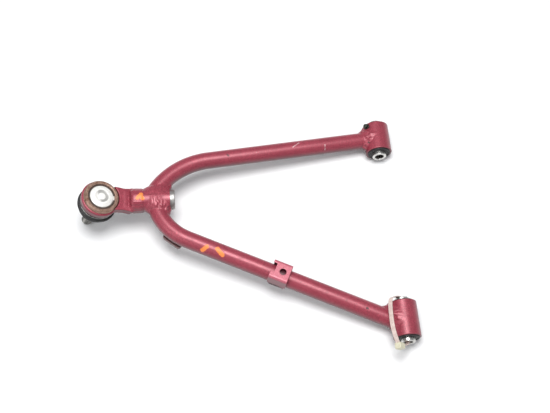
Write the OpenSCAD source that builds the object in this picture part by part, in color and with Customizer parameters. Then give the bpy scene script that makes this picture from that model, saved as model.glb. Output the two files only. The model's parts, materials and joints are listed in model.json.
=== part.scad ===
// Upper suspension control arm: two bent tube legs with greased pivot
// housings, a short stem, and a forged head that carries a sealed ball joint.
// Millimetres. The origin is the centre of the front pivot housing. +X points
// inboard (the ball joint is at -X), +Y points forward along the pivot axis,
// and +Z points up. The arm lies as it rests on a flat surface.

/* [Layout] */
// Distance between the centres of the two pivot housings
pivot_spacing = 221.8; // [215:0.1:230]
// How far the outboard end of the arm is raised above the pivot axis, in degrees
arm_tilt = 5.5; // [4:0.5:7]
// Distance of the stem's axis behind the front housing's centre
stem_offset = 69.4; // [67:0.1:72]
// Outboard distance of the ball joint ring's centre, in the plane of the arm
ring_reach = 319.6; // [316:0.1:324]
// Height of the ball joint ring's centre above the plane of the arm
ring_lift = 6.4; // [5:0.1:8]
// How much the forged head is bent up from the plane of the arm, in degrees
head_bend = 20.5; // [18:0.5:23]

/* [Pivot housings] */
// Outside diameter of a pivot housing
housing_d = 30; // [28:0.5:32]
// Bore of a pivot housing, which the bushes fill
housing_bore_d = 24; // [23:0.5:25]
// Length of the front pivot housing
front_housing_l = 35; // [33:0.5:38]
// Length of the rear pivot housing
rear_housing_l = 39; // [37:0.5:42]
// Outside diameter of a bush's flange
bush_flange_d = 26; // [25:0.5:27]
// Thickness of a bush's flange
bush_flange_t = 1.2; // [0.8:0.1:2]
// Length of a bush inside its housing
bush_l = 16; // [14:0.5:17]
// Outside diameter of a pivot sleeve
sleeve_d = 16; // [15.5:0.5:18]
// Bore of a pivot sleeve, a clearance hole for an M10 bolt
sleeve_bore_d = 10.2; // [10:0.1:10.5]
// How far a pivot sleeve stands out of each end of its housing
sleeve_out = 5; // [3:0.5:6]
// Radial running clearance between a sleeve and its bushes
running_fit = 0.05; // [0.02:0.01:0.1]

/* [Legs] */
// Outside diameter of a leg tube
leg_d = 19.05; // [18:0.05:20]
// Wall of the leg and stem tubes
tube_wall = 1.65; // [1.5:0.05:2]
// Where the front leg's line crosses the pivot axis, forward of the housing's centre
front_leg_start = 1.5; // [0:0.1:3]
// Angle between the front leg's straight part and the outboard direction
front_leg_angle = 6.5; // [5:0.1:8]
// Length of the front leg's straight part, from the pivot axis
front_leg_straight = 200.3; // [196:0.1:204]
// Centre-line radius of the front leg's bend
front_leg_bend_r = 84; // [78:1:90]
// Where the rear leg's line crosses the pivot axis, behind the housing's centre
rear_leg_start = 5; // [4:0.1:8]
// Angle between the rear leg's straight part and the outboard direction
rear_leg_angle = 25.6; // [24:0.1:27]
// Length of the rear leg's straight part, from the pivot axis
rear_leg_straight = 251.2; // [248:0.1:254]
// Centre-line radius of the rear leg's bend
rear_leg_bend_r = 60; // [56:1:66]
// Size of a weld bead
bead = 2.4; // [1.5:0.1:3]

/* [Stem and head] */
// Outside diameter of the stem tube
stem_d = 25.4; // [24:0.1:27]
// Outboard distance of the stem tube's inboard end
stem_in = 243.8; // [242:0.1:246]
// Outboard distance of the stem tube's outboard end
stem_out = 283; // [281:0.5:285]
// How far the end plug stands out of the stem tube
plug_out = 5.5; // [4:0.5:7]
// Width of the forged paddle between the stem and the ring
paddle_w = 28; // [26:0.2:30]
// Thickness of the forged paddle
paddle_t = 9; // [8:0.5:10]
// Height of the paddle's top above the middle of the ring
paddle_top = 8.5; // [8:0.1:9]
// Outside diameter of the ring
ring_d = 41.6; // [40:0.2:43]
// Bore of the ring, which the ball joint's body is pressed into
ring_bore_d = 34; // [33:0.5:35]

/* [Ball joint] */
// Diameter of the flange on the ball joint's body
flange_d = 38.4; // [37:0.2:40]
// Thickness of the flange on the ball joint's body
flange_t = 4.5; // [4:0.1:4.9]
// Diameter of the ball
ball_d = 22; // [21:0.5:22]
// Depth of the ball's centre below the middle of the ring
ball_depth = 9; // [8.5:0.1:9.5]
// Diameter of the stud's thread
thread_d = 12; // [10:1:12]
// Length of the stud's thread
thread_l = 13; // [11:0.5:15]
// Diameter of the hole for a split pin through the thread
split_pin_hole_d = 3.2; // [2.5:0.1:3.5]
// Greatest diameter of the rubber boot
boot_d = 43.2; // [42:0.2:44]

/* [Bracket and tie] */
// Distance of the hose bracket's centre along the rear leg
bracket_at = 143.7; // [130:0.1:160]
// Length of the hose bracket along the leg
bracket_l = 21; // [19:0.5:23]
// Thickness of the hose bracket's sheet
bracket_t = 1.6; // [1.5:0.1:2.5]
// Height of the hose bracket's top above the leg's axis
bracket_h = 13.8; // [13:0.1:15]
// Diameter of the hole in the hose bracket
bracket_hole_d = 7.2; // [6.4:0.1:8]
// Width of the cable tie's strap
tie_w = 4.8; // [3.6:0.1:5]

/* [Hidden] */
$fn = 96;

frame_red = [0.69, 0.28, 0.35];
bare_steel = [0.72, 0.72, 0.70];
worn_brown = [0.48, 0.40, 0.35];
black_polymer = [0.10, 0.10, 0.11];
black_rubber = [0.13, 0.13, 0.14];
zinc_grey = [0.70, 0.71, 0.70];
nylon = [0.92, 0.90, 0.83];
acetal = [0.90, 0.89, 0.84];

// A cut runs this far past the solid that it goes through
through = 1;
housing_r = housing_d / 2;
leg_r = leg_d / 2;
front_sleeve_l = front_housing_l + 2 * sleeve_out;
rear_sleeve_l = rear_housing_l + 2 * sleeve_out;
stem_r = stem_d / 2;
stem_bore_r = stem_r - tube_wall;
rear_pivot_y = -pivot_spacing;
stem_y = -stem_offset;

// Each leg's bend turns until its centre line reaches the stem's axis
function turn_to(from, drop, r) = acos(cos(from) - drop / r) - from;
front_bend_y = front_leg_start - front_leg_straight * sin(front_leg_angle);
front_leg_turn = turn_to(front_leg_angle, front_bend_y - stem_y, front_leg_bend_r);
rear_bend_y = rear_pivot_y - rear_leg_start + rear_leg_straight * sin(rear_leg_angle);
rear_leg_turn = turn_to(rear_leg_angle, stem_y - rear_bend_y, rear_leg_bend_r);

// Heights along the ball joint's axis, from the middle of the ring
ring_top = 3.5;
ring_bottom = -6;
flange_top = ring_top + flange_t;
cap_seat = flange_top - 2.8;
cap_t = 1.3;
cap_r = 14.4;
snap_t = 1.1;
snap_in_r = 13.1;
snap_groove_r = cap_r + 0.7;
ball_r = ball_d / 2;
ball_z = -ball_depth;
liner_t = 1.95;
liner_r = ball_r + running_fit + liner_t;
cavity_r = liner_r + running_fit;
liner_up = 2.6;
liner_down = 5.6;
mouth_r = 12.2;
body_r = ring_bore_d / 2;
body_neck_r = body_r - 0.5;
body_bottom = ball_z - liner_down;
seat_t = 2;
seat_top = ball_z + ball_r + seat_t;
seat_bottom = ball_z + 7.4;
seat_r = 8.6;
neck_r = 6.5;
taper_top_r = 7.6;
taper_top_z = -26;
taper_end_r = 6.6;
thread_r = thread_d / 2;
tip_r = thread_r - 1;
// The stud's tip stands on the same surface as the undersides of the housings
ring_height = ring_reach * sin(arm_tilt) + ring_lift * cos(arm_tilt);
stud_lean = arm_tilt + head_bend;
stud_end = -(ring_height + housing_r - tip_r * sin(stud_lean)) / cos(stud_lean);
thread_top = stud_end + thread_l;
split_pin_z = stud_end + 4.6;
boot_r = boot_d / 2;
boot_top = -7;
boot_bottom = -29.4;
// The boot's lower end is on another body than the ring and the stud it closes on
boot_gap = 0.3;
boot_bore_r = taper_top_r + boot_gap;
wire_r = 0.8;

module arm_plane() rotate([0, arm_tilt, 0]) children();

module rear_pivot() translate([0, rear_pivot_y, 0]) children();

// Along the stem's axis, with X at a distance outboard
module on_stem(outboard) arm_plane() translate([-outboard, stem_y, 0]) rotate([0, 90, 0]) children();

module head_frame() arm_plane() translate([-ring_reach, stem_y, ring_lift])
  rotate([0, head_bend, 0]) children();

// Each leg's own frame: X runs along its straight part, Y turns towards its bend
module front_leg_frame() arm_plane() translate([0, front_leg_start, 0])
  rotate([0, 0, 180 + front_leg_angle]) children();
module rear_leg_frame() arm_plane() translate([0, rear_pivot_y - rear_leg_start, 0])
  rotate([0, 0, 180 - rear_leg_angle]) mirror([0, 1, 0]) children();

// A round bar that runs straight and then turns left
module bent_bar(r, straight, bend_r, turn) {
  rotate([0, 90, 0]) cylinder(r = r, h = straight);
  translate([straight, bend_r, 0]) rotate([0, 0, -90])
    rotate_extrude(angle = turn) translate([bend_r, 0]) circle(r = r);
}

module front_leg_bar(r) front_leg_frame()
  bent_bar(r, front_leg_straight, front_leg_bend_r, front_leg_turn);
module rear_leg_bar(r) rear_leg_frame()
  bent_bar(r, rear_leg_straight, rear_leg_bend_r, rear_leg_turn);

module housing_bar(r, l) rotate([90, 0, 0]) cylinder(r = r, h = l, center = true);
module stem_bar(r, extra = 0) on_stem(stem_out + extra)
  cylinder(r = r, h = stem_out - stem_in + 2 * extra);

module stem_tube() color(frame_red) difference() {
  stem_bar(stem_r);
  stem_bar(stem_bore_r, through);
}

module front_leg_tube() color(frame_red) difference() {
  front_leg_bar(leg_r);
  front_leg_bar(leg_r - tube_wall);
  housing_bar(housing_r, front_housing_l);
  stem_bar(stem_r, through);
}

module rear_leg_tube() color(frame_red) difference() {
  rear_leg_bar(leg_r);
  rear_leg_bar(leg_r - tube_wall);
  rear_pivot() housing_bar(housing_r, rear_housing_l);
  stem_bar(stem_r, through);
}

// Nipple axes: the front one leans outboard near the forward end, the rear
// one leans inboard and down on the hidden side
nipple_along = 12.7;
front_nipple_angle = -46;
rear_nipple_angle = 128;
nipple_thread_r = 2.5;

module front_nipple_frame() translate([0, nipple_along, 0])
  rotate([0, front_nipple_angle, 0]) children();
module rear_nipple_frame() rear_pivot() rotate([0, rear_nipple_angle, 0]) children();

module pivot_housing(l) color(frame_red) difference() {
  housing_bar(housing_r, l);
  housing_bar(housing_bore_d / 2, l + 2 * through);
}

module nipple_hole() translate([0, 0, housing_bore_d / 4]) cylinder(r = nipple_thread_r, h = housing_r);

module front_pivot_housing() color(frame_red) difference() {
  pivot_housing(front_housing_l);
  front_nipple_frame() nipple_hole();
}

module rear_pivot_housing() color(frame_red) difference() {
  rear_pivot() pivot_housing(rear_housing_l);
  rear_nipple_frame() nipple_hole();
}

// A saddle-shaped bead around a leg where it meets a larger round part. The
// children are the leg grown by the bead, the part grown by the bead, the leg
// and the part
module saddle_bead() color(frame_red) difference() {
  intersection() {
    children(0);
    children(1);
  }
  children(2);
  children(3);
}

module front_leg_stem_weld() saddle_bead() {
  front_leg_bar(leg_r + bead);
  stem_bar(stem_r + bead);
  front_leg_bar(leg_r);
  stem_bar(stem_r, through);
}

module rear_leg_stem_weld() saddle_bead() {
  rear_leg_bar(leg_r + bead);
  stem_bar(stem_r + bead);
  rear_leg_bar(leg_r);
  stem_bar(stem_r, through);
}

module front_pivot_weld() saddle_bead() {
  front_leg_bar(leg_r + bead);
  housing_bar(housing_r + bead, front_housing_l);
  front_leg_bar(leg_r);
  housing_bar(housing_r, front_housing_l);
}

module rear_pivot_weld() saddle_bead() {
  rear_leg_bar(leg_r + bead);
  rear_pivot() housing_bar(housing_r + bead, rear_housing_l);
  rear_leg_bar(leg_r);
  rear_pivot() housing_bar(housing_r, rear_housing_l);
}

spigot_l = 20;
shank_l = 10;
collar_l = 2;

// The corner between the stem tube's end and the forging's shank is filled
module stem_head_weld() color(frame_red) on_stem(stem_out + collar_l) difference() {
  cylinder(r1 = stem_bore_r + 0.4, r2 = stem_r, h = collar_l);
  translate([0, 0, -through]) cylinder(r = stem_bore_r, h = collar_l + 2 * through);
}

plug_in = 12;
plug_chamfer = 1.2;

module stem_end_plug() color(zinc_grey) on_stem(stem_in + plug_in) {
  cylinder(r = stem_bore_r, h = plug_in + plug_out - plug_chamfer);
  translate([0, 0, plug_in + plug_out - plug_chamfer])
    cylinder(r1 = stem_bore_r, r2 = stem_bore_r - plug_chamfer, h = plug_chamfer);
}

paddle_l = 33.6;
paddle_bottom = paddle_top - paddle_t;
step_r = 3;
step_x = 29;
spot_face_r = flange_d / 2 + 0.5;

// The solid that the paddle's top and underside cut away from the shank: a
// hollow of radius step_r that leads up from the paddle's top, and all below it
module shank_cut() {
  translate([step_x, 0, paddle_top + step_r]) rotate([90, 0, 0])
    cylinder(r = step_r, h = stem_d, center = true);
  translate([0, -stem_r, paddle_top]) cube([step_x, stem_d, stem_d]);
  translate([0, -stem_r, paddle_top + step_r]) cube([step_x + step_r, stem_d, stem_d]);
  translate([0, -stem_r, paddle_bottom - stem_d]) cube([paddle_l - 1, stem_d, stem_d]);
}

// One forging: ring with a spot face round it, paddle, and a hollowed step up
// to the round shank, which goes into the stem as a spigot
module ball_joint_head() color(frame_red) difference() {
  union() {
    head_frame() rotate_extrude() polygon([
      [0, ring_bottom], [ring_d / 2 - 2.8, ring_bottom], [ring_d / 2, 0.5],
      [ring_d / 2, ring_top - 1.5], [ring_d / 2 - 1.2, ring_top], [0, ring_top]
    ]);
    head_frame() translate([0, -paddle_w / 2, paddle_bottom]) cube([paddle_l, paddle_w, paddle_t]);
    difference() {
      on_stem(stem_out + shank_l) cylinder(r = stem_bore_r, h = spigot_l + shank_l);
      head_frame() shank_cut();
    }
  }
  head_frame() translate([0, 0, ring_bottom - through])
    cylinder(r = body_r, h = ring_top - ring_bottom + 2 * through);
  head_frame() translate([0, 0, ring_top]) cylinder(r = spot_face_r, h = paddle_top - ring_top + through);
}

// A flat-topped arch with rounded shoulders, standing on Z = 0
module arch(w, h, r) {
  translate([-w / 2, 0]) square([w, h - r]);
  translate([r - w / 2, 0]) square([w - 2 * r, h]);
  for (side = [-1, 1]) translate([side * (w / 2 - r), h - r]) circle(r = r);
}

bracket_drop = 4;
bracket_gap = 0.05;
notch_l = 4.2;
notch_w = 10;
notch_shift = 2;
hole_shift = -2.5;

module bracket_frame() rear_leg_frame() translate([bracket_at, 0, 0]) children();

module along_leg(l) rotate([90, 0, 90]) translate([0, 0, -l / 2]) linear_extrude(l) children();

module hose_bracket() color(frame_red) bracket_frame() {
  inner_w = leg_d + 2 * bracket_gap;
  difference() {
    along_leg(bracket_l) translate([0, -bracket_drop])
      arch(inner_w + 2 * bracket_t, bracket_h + bracket_drop, 3.5);
    along_leg(bracket_l + 2 * through) translate([0, -bracket_drop - through])
      arch(inner_w, bracket_h + bracket_drop + through - bracket_t, 1.5);
    translate([bracket_l / 2 - notch_l, notch_shift - notch_w / 2, leg_r + 1])
      cube([notch_l + through, notch_w, bracket_h]);
    translate([hole_shift, 0, leg_r]) cylinder(d = bracket_hole_d, h = bracket_h);
  }
}

module hose_bracket_weld() color(frame_red) bracket_frame() difference() {
  for (side = [-1, 1])
    translate([0, side * (leg_r + bracket_t / 2), -bracket_drop - 0.6]) rotate([0, 90, 0])
      cylinder(r = 1.9, h = bracket_l - 4, center = true);
  rotate([0, 90, 0]) cylinder(r = leg_r, h = bracket_l + 2 * through, center = true);
  translate([0, 0, bracket_h - bracket_drop])
    cube([bracket_l + 2 * through, leg_d + 4 * bracket_t, 2 * bracket_h], center = true);
}

tab_l = 23;
tab_w = 13;
tab_t = 3;
tab_seat = 1.5;
tab_corner = 3;
tab_turn = 14;
tab_shift = 3.2;

// A small flat tab under the rear leg's bend, for a line clip, cut to seat on
// the leg
module lower_line_tab() color(frame_red) difference() {
  rear_leg_frame() translate([rear_leg_straight, rear_leg_bend_r, 0]) rotate([0, 0, tab_turn])
    translate([0, -rear_leg_bend_r - tab_shift, -leg_r - tab_t]) {
      translate([-tab_l / 2 + tab_corner, -tab_w / 2, 0])
        cube([tab_l - 2 * tab_corner, tab_w, tab_t + tab_seat]);
      translate([-tab_l / 2, -tab_w / 2 + tab_corner, 0])
        cube([tab_l, tab_w - 2 * tab_corner, tab_t + tab_seat]);
      for (i = [-1, 1], j = [-1, 1])
        translate([i * (tab_l / 2 - tab_corner), j * (tab_w / 2 - tab_corner), 0])
          cylinder(r = tab_corner, h = tab_t + tab_seat);
    }
  rear_leg_bar(leg_r);
}

bush_chamfer = 0.5;

// A flanged bush: its flange lies against the housing's face at Y = 0
module bush() color(black_polymer) rotate([90, 0, 0]) difference() {
  union() {
    cylinder(d = housing_bore_d, h = bush_l);
    translate([0, 0, bush_chamfer - bush_flange_t])
      cylinder(d = bush_flange_d, h = bush_flange_t - bush_chamfer);
    translate([0, 0, -bush_flange_t])
      cylinder(d1 = bush_flange_d - 2 * bush_chamfer, d2 = bush_flange_d, h = bush_chamfer);
  }
  translate([0, 0, -bush_flange_t - through])
    cylinder(r = sleeve_d / 2 + running_fit, h = bush_l + bush_flange_t + 2 * through);
}

module front_end_bush(l) translate([0, l / 2, 0]) bush();
module rear_end_bush(l) translate([0, -l / 2, 0]) mirror([0, 1, 0]) bush();

module front_housing_front_bush() front_end_bush(front_housing_l);
module front_housing_rear_bush() rear_end_bush(front_housing_l);
module rear_housing_front_bush() rear_pivot() front_end_bush(rear_housing_l);
module rear_housing_rear_bush() rear_pivot() rear_end_bush(rear_housing_l);

sleeve_chamfer = 0.8;

module sleeve(l) color(bare_steel) rotate([90, 0, 0]) difference() {
  union() {
    cylinder(d = sleeve_d, h = l - 2 * sleeve_chamfer, center = true);
    for (end = [0, 1]) mirror([0, 0, end]) translate([0, 0, l / 2 - sleeve_chamfer])
      cylinder(d1 = sleeve_d, d2 = sleeve_d - 2 * sleeve_chamfer, h = sleeve_chamfer);
  }
  cylinder(d = sleeve_bore_d, h = l + 2 * through, center = true);
}

module front_pivot_sleeve() sleeve(front_sleeve_l);
module rear_pivot_sleeve() rear_pivot() sleeve(rear_sleeve_l);

// A grease nipple along Z, with its thread in the housing's wall
module nipple() color(worn_brown) translate([0, 0, housing_bore_d / 2 + 0.4]) difference() {
  union() {
    cylinder(r = nipple_thread_r, h = 3);
    translate([0, 0, 2.8]) cylinder(r = 3.6, h = 2, $fn = 6);
    translate([0, 0, 4.8]) cylinder(r = 1.7, h = 1.4);
    translate([0, 0, 6]) cylinder(r1 = 2.7, r2 = 2.0, h = 1.6);
  }
  translate([0, 0, -through]) cylinder(r = 0.7, h = 10);
}

module front_grease_nipple() front_nipple_frame() nipple();
module rear_grease_nipple() rear_nipple_frame() nipple();

module ball_joint_body() color(worn_brown) head_frame() difference() {
  rotate_extrude() polygon([
    [0, body_bottom], [body_neck_r, body_bottom], [body_neck_r, ring_bottom], [body_r, ring_bottom],
    [body_r, ring_top], [flange_d / 2, ring_top], [flange_d / 2, flange_top - 0.6],
    [flange_d / 2 - 0.6, flange_top], [0, flange_top]
  ]);
  translate([0, 0, ball_z]) sphere(r = cavity_r);
  translate([0, 0, ball_z]) cylinder(r = cavity_r, h = flange_top - ball_z);
  translate([0, 0, ball_z - cavity_r]) cylinder(r = mouth_r, h = cavity_r);
  translate([0, 0, cap_seat]) cylinder(r = cap_r, h = flange_top - cap_seat + through);
  translate([0, 0, cap_seat + cap_t]) cylinder(r = snap_groove_r, h = snap_t);
}

dish_r = 6.2;
dome_r = 13;

module ball_joint_cap() color(bare_steel) head_frame() rotate_extrude() polygon([
  [0, cap_seat], [cap_r, cap_seat], [cap_r, cap_seat + cap_t], [dome_r, cap_seat + cap_t],
  [dome_r - 0.6, cap_seat + 3], [dish_r + 1, cap_seat + 4.2], [dish_r, cap_seat + 3.4],
  [0, cap_seat + 3.2]
]);

snap_gap = 24;

module cap_snap_ring() color(worn_brown) head_frame() translate([0, 0, cap_seat + cap_t])
  rotate([0, 0, snap_gap / 2]) rotate_extrude(angle = 360 - snap_gap)
    translate([snap_in_r, 0]) square([snap_groove_r - snap_in_r, snap_t]);

// A disc spring that presses the upper seat down on the ball
module seat_spring() color(bare_steel) head_frame() rotate_extrude() polygon([
  [2.5, cap_seat - 0.5], [2.5, cap_seat], [8.4, seat_top + 0.5], [8.4, seat_top]
]);

module upper_ball_seat() color(acetal) head_frame() difference() {
  translate([0, 0, seat_bottom]) cylinder(r = seat_r, h = seat_top - seat_bottom);
  translate([0, 0, ball_z]) sphere(r = ball_r + running_fit);
}

// A ball-shaped ring between the ball and the body's cavity
module ball_liner() color(acetal) head_frame() translate([0, 0, ball_z]) difference() {
  intersection() {
    sphere(r = liner_r);
    translate([0, 0, -liner_down]) cylinder(r = 2 * ball_r, h = liner_down + liner_up);
  }
  sphere(r = ball_r + running_fit);
}

module ball_stud() color(bare_steel) head_frame() difference() {
  union() {
    translate([0, 0, ball_z]) sphere(r = ball_r);
    rotate_extrude() polygon([
      [0, ball_z], [neck_r, ball_z], [neck_r, taper_top_z + 6], [taper_top_r, taper_top_z],
      [taper_top_r, taper_top_z - 2], [taper_end_r, thread_top], [thread_r, thread_top - 0.6],
      [thread_r, stud_end + 1], [tip_r, stud_end], [0, stud_end]
    ]);
  }
  translate([0, 0, split_pin_z]) rotate([90, 0, 0])
    cylinder(d = split_pin_hole_d, h = 2 * thread_d, center = true);
}

upper_groove_z = -9.2;
upper_groove_r = 18.4;
lower_groove_z = -27.4;
lower_groove_r = 9.8;
lower_groove_half = wire_r + boot_gap;
fold_z = -19.2;
fold_r = 18.9;
fold_wall = 1.8;
cuff_r = 11.2;

// A thin rubber bellows from the body's neck to the stud's taper: outside
// downwards, then inside upwards
module dust_boot() color(black_rubber) head_frame() rotate_extrude() polygon([
  [body_neck_r, boot_top], [upper_groove_r + wire_r, boot_top],
  [upper_groove_r + wire_r, upper_groove_z + wire_r], [upper_groove_r, upper_groove_z + wire_r],
  [upper_groove_r, upper_groove_z - wire_r], [boot_r - 0.9, upper_groove_z - 1.1],
  [boot_r, -12.2], [boot_r - 0.6, -14.6], [fold_r - 0.9, fold_z + 2], [fold_r, fold_z],
  [fold_r - 1.4, fold_z - 2.4], [12.5, -24.4], [cuff_r, -25.4],
  [cuff_r, lower_groove_z + lower_groove_half],
  [lower_groove_r - boot_gap, lower_groove_z + lower_groove_half],
  [lower_groove_r - boot_gap, lower_groove_z - lower_groove_half],
  [cuff_r - 0.2, lower_groove_z - lower_groove_half], [cuff_r - 0.2, boot_bottom],
  [boot_bore_r, boot_bottom], [boot_bore_r, -26.2], [10.6, -23.6], [fold_r - 3, fold_z - 1.7],
  [fold_r - fold_wall, fold_z], [fold_r - 2.6, fold_z + 2.2], [boot_r - 2.3, -14.2],
  [boot_r - 1.7, -12.6], [body_neck_r, -11.2]
]);

module wire_ring(r, z) rotate_extrude() translate([r + wire_r, z]) circle(r = wire_r, $fn = 24);

module boot_upper_ring() color(bare_steel) head_frame() wire_ring(upper_groove_r, upper_groove_z);
module boot_lower_ring() color(bare_steel) head_frame() wire_ring(lower_groove_r, lower_groove_z);

tie_angle = 48;
tie_r = 20.6;
tie_t = 1.2;
tie_far = rear_sleeve_l / 2 + 0.8;
tie_near = -rear_sleeve_l / 2 - 2.6;
tie_clear_r = 6.2;
tie_head = [7, 6, 6.4];

// The strap's outside run along the rear housing, its two turned-in ends,
// which stop clear of the sleeve's bore, and its locking head
module cable_tie() color(nylon) rear_pivot() rotate([0, tie_angle, 0]) {
  translate([-tie_r - tie_t, tie_near - tie_t, -tie_w / 2])
    cube([tie_t, tie_far - tie_near + 2 * tie_t, tie_w]);
  for (y = [tie_near - tie_t, tie_far])
    translate([-tie_r - tie_t, y, -tie_w / 2]) cube([tie_r + tie_t - tie_clear_r, tie_t, tie_w]);
  translate([-tie_r + 1, tie_near - tie_t - tie_head[1], -tie_head[2] / 2]) cube(tie_head);
}

stem_tube();
front_leg_tube();
rear_leg_tube();
front_pivot_housing();
rear_pivot_housing();
ball_joint_head();
stem_end_plug();
front_leg_stem_weld();
rear_leg_stem_weld();
front_pivot_weld();
rear_pivot_weld();
stem_head_weld();
hose_bracket();
hose_bracket_weld();
lower_line_tab();
front_housing_front_bush();
front_housing_rear_bush();
rear_housing_front_bush();
rear_housing_rear_bush();
front_pivot_sleeve();
rear_pivot_sleeve();
front_grease_nipple();
rear_grease_nipple();
ball_joint_body();
ball_joint_cap();
cap_snap_ring();
seat_spring();
upper_ball_seat();
ball_liner();
ball_stud();
dust_boot();
boot_upper_ring();
boot_lower_ring();
cable_tie();
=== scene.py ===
"""Looks for a tube control arm with a sealed ball joint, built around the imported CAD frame.

Pieces are made in millimetres in a frame of their own and placed in metres in the row's frame.
"""

import json
import math
from collections import namedtuple

import bpy
import numpy as np
from mathutils import Matrix, Vector


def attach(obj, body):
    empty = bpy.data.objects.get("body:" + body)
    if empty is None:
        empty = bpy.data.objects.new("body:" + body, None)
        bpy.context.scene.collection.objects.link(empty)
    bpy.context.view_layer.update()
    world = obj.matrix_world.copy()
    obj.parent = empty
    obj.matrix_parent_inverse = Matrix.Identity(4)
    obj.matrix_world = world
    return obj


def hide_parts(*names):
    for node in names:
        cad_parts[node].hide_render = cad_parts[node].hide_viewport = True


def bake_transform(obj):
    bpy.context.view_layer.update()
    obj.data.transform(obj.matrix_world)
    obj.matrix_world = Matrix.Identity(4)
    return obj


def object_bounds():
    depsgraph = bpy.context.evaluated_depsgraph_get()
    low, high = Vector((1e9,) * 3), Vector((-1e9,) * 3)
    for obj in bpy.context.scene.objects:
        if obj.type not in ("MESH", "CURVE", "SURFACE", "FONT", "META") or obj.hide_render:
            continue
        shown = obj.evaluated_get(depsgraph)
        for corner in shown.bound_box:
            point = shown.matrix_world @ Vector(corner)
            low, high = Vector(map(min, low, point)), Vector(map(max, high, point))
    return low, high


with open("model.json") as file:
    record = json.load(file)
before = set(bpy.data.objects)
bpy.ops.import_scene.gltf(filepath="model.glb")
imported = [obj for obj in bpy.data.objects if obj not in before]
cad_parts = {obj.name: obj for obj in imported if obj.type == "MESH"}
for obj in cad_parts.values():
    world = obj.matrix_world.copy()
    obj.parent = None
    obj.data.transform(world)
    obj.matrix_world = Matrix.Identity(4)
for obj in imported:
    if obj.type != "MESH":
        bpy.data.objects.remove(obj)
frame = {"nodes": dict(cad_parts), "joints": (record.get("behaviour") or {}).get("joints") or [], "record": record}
cad_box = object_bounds()

nodes = frame["nodes"]
joints = {j["name"]: j for j in frame["joints"]}
mounts = {m["name"]: m for m in frame["record"]["mounts"]}
MM = 0.001
TINY = 1e-6
UP = Vector((0, 0, 1))
FORWARD = Vector((0, 1, 0))

# Sizes in millimetres and angles in degrees, as in the CAD source
LEG_R, STEM_R, STEM_BORE_R, HOUSING_R, HOUSING_BORE_R = 9.525, 12.7, 11.05, 15, 12
Leg = namedtuple("Leg", "y angle straight bend_r side")
FRONT_LEG, REAR_LEG = Leg(1.5, 6.5, 200.3, 84, 1), Leg(-226.8, 25.6, 251.2, 60, -1)
STEM_IN, STEM_OUT, PLUG_OUT, PLUG_IN = 243.8, 283, 5.5, 12
BRACKET_AT, BRACKET_L, BRACKET_T, BRACKET_H, BRACKET_DROP = 143.7, 21, 1.6, 13.8, 4
HOLE_X, HOLE_R, NOTCH_Y = -2.5, 3.6, -2
SLEEVE_R, SLEEVE_BORE_R, SLEEVE_OUT, BUSH_L, BUSH_FLANGE_R, BUSH_FLANGE_T = 8, 5.1, 5, 16, 13, 1.2
BALL_DEPTH, RING_R, RING_TOP, RING_BOTTOM, BODY_R = 9, 20.8, 3.5, -6, 17
FLANGE_R, FLANGE_TOP, CAP_SEAT, CAP_R = 19.2, 8, 5.2, 14.4
PADDLE_TOP, PADDLE_T, PADDLE_L, PADDLE_W, STEP_X, STEP_R, SPOT_FACE_R = 8.5, 9, 33.6, 28, 29, 3, 19.7


# ---------------------------------------------------------------- frames

def frame_at(origin_m, x, z):
    """The matrix from millimetres in a frame with these axes to metres in the row's frame."""
    z = Vector(z).normalized()
    x = Vector(x).normalized()
    y = z.cross(x)
    turn = Matrix((x, y, z)).transposed().to_4x4()
    return Matrix.Translation(Vector(origin_m)) @ turn @ Matrix.Scale(MM, 4)


head_up = Vector(joints["ball_stud_spin"]["axis"])
head_in = Vector(joints["ball_joint_fore_aft"]["axis"])
ball_m = Vector(joints["ball_joint_travel"]["pos_m"])
arm_up = Vector(mounts["hose_bracket_hole"]["axis"])
front_m = Vector(mounts["front_pivot_bore"]["pos_m"])
rear_m = Vector(mounts["rear_pivot_bore"]["pos_m"])
HEAD = frame_at(ball_m + head_up * BALL_DEPTH * MM, head_in, head_up)
ARM = frame_at(front_m, FORWARD.cross(arm_up), arm_up)
STEM_Y = ball_m.y / MM


def stem_frame(outboard):
    """Z runs along the stem's axis towards the pivots, from this distance outboard."""
    return ARM @ Matrix.Translation((-outboard, STEM_Y, 0)) @ Matrix.Rotation(math.pi / 2, 4, "Y")


def pivot_frame(origin_m):
    """Z runs forward along a pivot's axis, X points inboard."""
    return frame_at(origin_m, (1, 0, 0), FORWARD)


def leg_line(leg, s):
    """Centre and direction, in the arm's frame, at a length along a leg."""
    s = np.asarray(s, float)
    bend = np.clip(s - leg.straight, 0, None) / leg.bend_r
    start = math.radians(180 + leg.side * leg.angle)
    way = start + leg.side * bend
    run = np.minimum(s, leg.straight)
    x = run * math.cos(start) + leg.side * leg.bend_r * (np.sin(way) - math.sin(start))
    y = leg.y + run * math.sin(start) - leg.side * leg.bend_r * (np.cos(way) - math.cos(start))
    zero = np.zeros_like(x)
    return np.stack([x, y, zero], -1), np.stack([np.cos(way), np.sin(way), zero], -1)


def leg_frame(leg, s):
    """X runs along the leg, outboard; Z is the arm's up."""
    centre, way = leg_line(leg, s)
    turn = math.atan2(way[1], way[0])
    return ARM @ Matrix.Translation(centre) @ Matrix.Rotation(turn, 4, "Z")


# ---------------------------------------------------------------- meshes

def add(name, data):
    thing = bpy.data.objects.new(name, data)
    bpy.context.scene.collection.objects.link(thing)
    return thing


def make(name, verts, faces, matrix, body, material, stands_for=(), sharp=32):
    mesh = bpy.data.meshes.new(name)
    mesh.from_pydata([tuple(v) for v in verts], [], faces)
    mesh.validate()
    piece = add(name, mesh)
    mesh.transform(matrix)
    if matrix.determinant() < 0:
        mesh.flip_normals()
    mesh.shade_smooth()
    mesh.set_sharp_from_angle(angle=math.radians(sharp))
    mesh.materials.append(material)
    if body:
        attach(piece, body)
    if stands_for:
        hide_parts(*stands_for)
    return piece


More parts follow.
